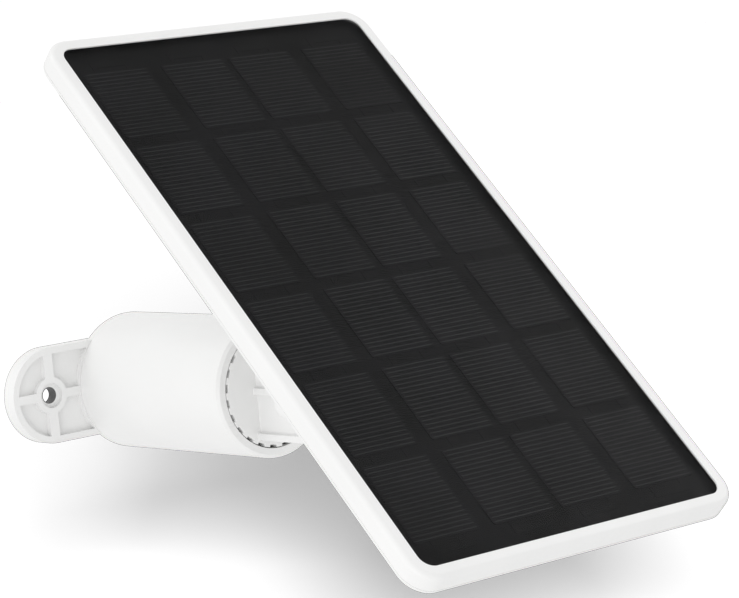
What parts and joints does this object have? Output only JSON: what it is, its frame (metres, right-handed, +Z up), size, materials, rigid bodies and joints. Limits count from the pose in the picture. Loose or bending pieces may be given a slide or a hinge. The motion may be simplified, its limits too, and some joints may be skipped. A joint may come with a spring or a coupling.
{
  "type": "camera solar panel",
  "caption": "Outdoor solar charging panel for a security camera, held by a tilting and swivelling arm on a round housing with a two-eared wall plate.",
  "frame": {"origin": "centre of the wall plate's back face, on the swivel axis", "axes": "+Y into the wall along the swivel axis, +Z up, +X right seen from in front; the panel faces -Y and up"},
  "size_m": [0.116, 0.2, 0.1459],
  "materials": {
    "white_shell": "fine satin moulded plastic",
    "nylon": "smooth moulded nylon",
    "steel": "zinc-plated steel",
    "white_steel": "steel lacquered white",
    "spring_steel": "bright spring steel",
    "brass": "turned brass",
    "black_rubber": "soft black rubber",
    "dark_sheet": "dark tinted sheet with a fine matt front",
    "solar_cell": "dark silicon with fine lines across it",
    "black_ribbon": "flat copper coated black",
    "black_board": "black laminate",
    "green_board": "green lacquered board",
    "dark_parts": "moulded component cases",
    "wire_cover": "soft insulation"
  },
  "bodies": {
    "wall_mount": {"wall_plate": "white_shell", "housing": "white_shell", "housing_screws": "steel", "bearing_bush": "nylon", "bearing_washer": "steel", "click_ring": "spring_steel"},
    "swivel": {"swivel_arm": "white_shell", "stem_insert": "brass", "axle_screw": "steel", "thrust_washer": "steel", "clutch_spring": "spring_steel"},
    "panel": {"panel_bracket": "white_shell", "bracket_screws": "steel", "bracket_inserts": "brass", "friction_pads": "black_rubber", "tilt_bolt": "white_steel", "tilt_nut": "white_steel", "tilt_washers": "nylon", "back_shell": "white_shell", "front_frame": "white_shell", "cover_sheet": "dark_sheet", "solar_cells": "solar_cell", "cell_ribbons": "black_ribbon", "backing_board": "black_board", "edge_gasket": "black_rubber", "circuit_board": "green_board", "board_parts": "dark_parts", "board_screws": "steel", "lead_wires": "wire_cover", "cable_gland": "nylon", "gland_nut": "nylon", "gland_seal": "black_rubber"}
  },
  "joints": [
    {"name": "swivel_turn", "type": "hinge", "parent": "wall_mount", "child": "swivel", "pos_m": [0, -0.0735, 0], "axis": [0, -1, 0], "continuous": true},
    {"name": "panel_tilt", "type": "hinge", "parent": "swivel", "child": "panel", "pos_m": [0, -0.1015, 0], "axis": [1, 0, 0], "range_deg": [-30, 45]}
  ]
}
